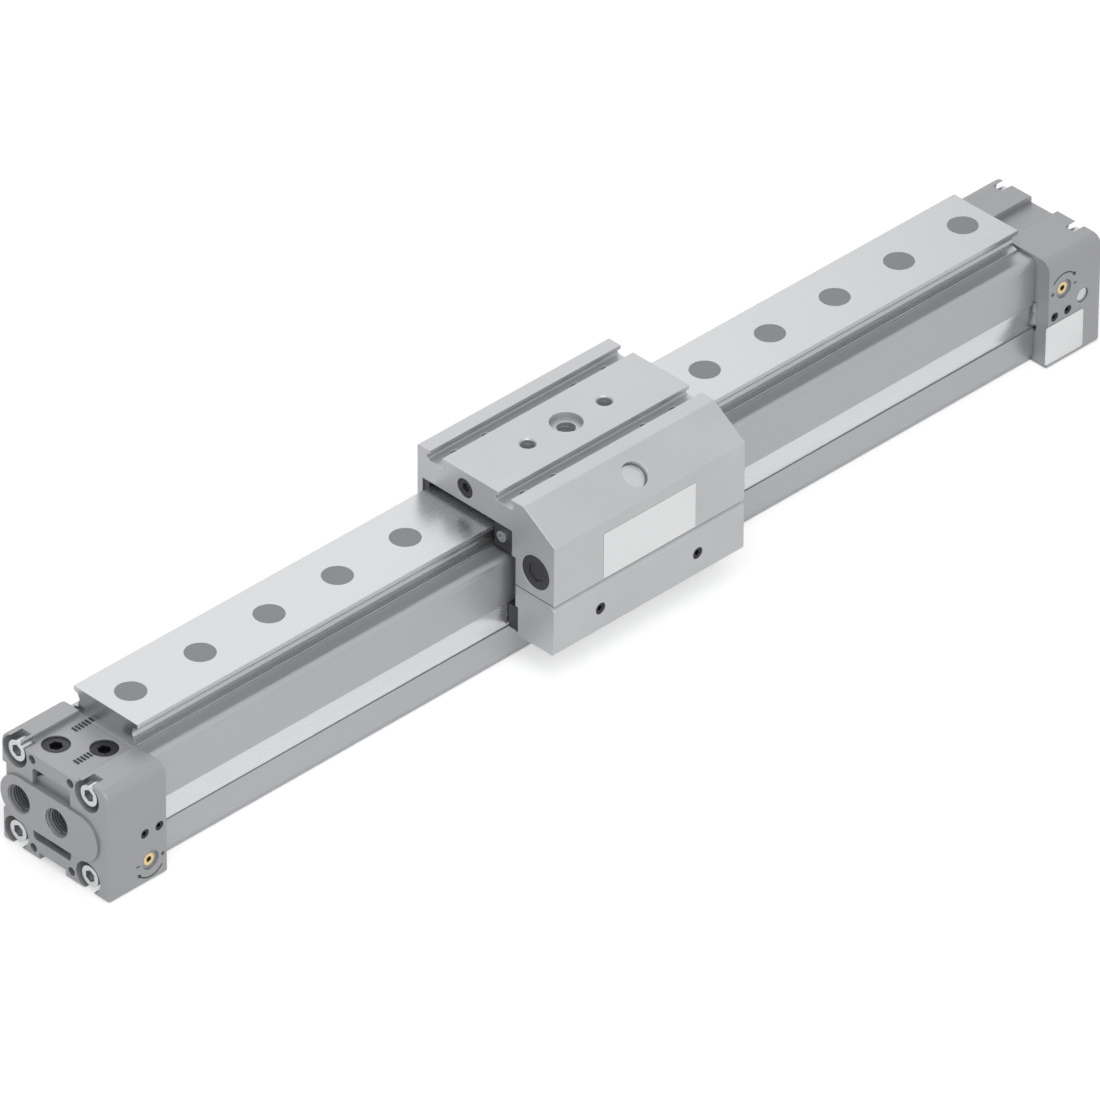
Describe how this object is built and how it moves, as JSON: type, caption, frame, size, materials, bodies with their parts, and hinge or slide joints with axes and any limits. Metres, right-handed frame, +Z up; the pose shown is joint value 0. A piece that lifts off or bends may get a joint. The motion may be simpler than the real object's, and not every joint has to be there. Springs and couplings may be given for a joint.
{
  "type": "rodless pneumatic cylinder",
  "caption": "Rodless air cylinder: slotted barrel with end caps, steel guide rail on top and a ball-guided slide driven through the side slot.",
  "frame": {"origin": "on the underside, below the guide rail's centre line, at mid stroke", "axes": "+X along the stroke, the driver's slot faces -Y, +Z up through the slide's table"},
  "size_m": [0.6, 0.085, 0.085],
  "materials": {
    "barrel": "clear anodised extrusion",
    "cap_metal": "cast and painted grey",
    "slide_aluminium": "clear anodised",
    "driver_aluminium": "milled",
    "plate_aluminium": "brushed, blank",
    "rail_steel": "ground",
    "band_steel": "rolled strip",
    "zinc_steel": "zinc plated",
    "black_steel": "black oxide",
    "ball_steel": "polished",
    "brass": "turned",
    "rail_cap_plastic": "matte",
    "dark_plastic": "matte",
    "rubber": "matte"
  },
  "bodies": {
    "barrel": {"barrel_profile": "barrel", "guide_rail": "rail_steel", "rail_screws": "black_steel", "rail_hole_caps": "rail_cap_plastic", "cover_band": "band_steel", "sealing_band": "band_steel", "left_end_cap": "cap_metal", "left_cap_screws": "zinc_steel", "left_port_plugs": "black_steel", "left_band_clamp": "zinc_steel", "left_clamp_screws": "black_steel", "left_cushion_spigot": "zinc_steel", "left_bore_seal": "rubber", "left_channel_seals": "rubber", "right_end_cap": "cap_metal", "right_cap_screws": "zinc_steel", "right_port_plugs": "black_steel", "right_band_clamp": "zinc_steel", "right_clamp_screws": "black_steel", "right_cushion_spigot": "zinc_steel", "right_bore_seal": "rubber", "right_channel_seals": "rubber", "side_port_plug": "zinc_steel"},
    "slide": {"slide_plate": "slide_aluminium", "name_plate": "plate_aluminium", "access_plug": "zinc_steel", "stop_plugs": "dark_plastic", "lube_plugs": "dark_plastic", "near_runner": "rail_steel", "far_runner": "rail_steel", "near_balls": "ball_steel", "far_balls": "ball_steel", "near_return_caps": "dark_plastic", "far_return_caps": "dark_plastic", "return_cap_screws": "zinc_steel", "runner_screws": "black_steel", "preload_screws": "black_steel", "driver_block": "slide_aluminium", "block_bolts": "black_steel", "block_set_screws": "black_steel", "band_scrapers": "dark_plastic", "driver_yoke": "driver_aluminium", "left_piston": "dark_plastic", "right_piston": "dark_plastic", "piston_seals": "rubber", "wear_rings": "dark_plastic", "cushion_seals": "rubber", "piston_screws": "black_steel", "sensor_magnet": "zinc_steel"},
    "left_needle": {"left_cushion_needle": "brass"},
    "right_needle": {"right_cushion_needle": "brass"}
  },
  "joints": [
    {"name": "slide_travel", "type": "slide", "parent": "barrel", "child": "slide", "axis": [1, 0, 0], "range_m": [-0.2, 0.2], "deforming": ["cover_band", "sealing_band"]},
    {"name": "left_cushion_turn", "type": "hinge", "parent": "barrel", "child": "left_needle", "pos_m": [-0.2753, -0.0333, 0.0108], "axis": [0, -1, 0], "range_deg": [-540, 540]},
    {"name": "right_cushion_turn", "type": "hinge", "parent": "barrel", "child": "right_needle", "pos_m": [0.2753, -0.0333, 0.0386], "axis": [0, -1, 0], "range_deg": [-540, 540]}
  ]
}
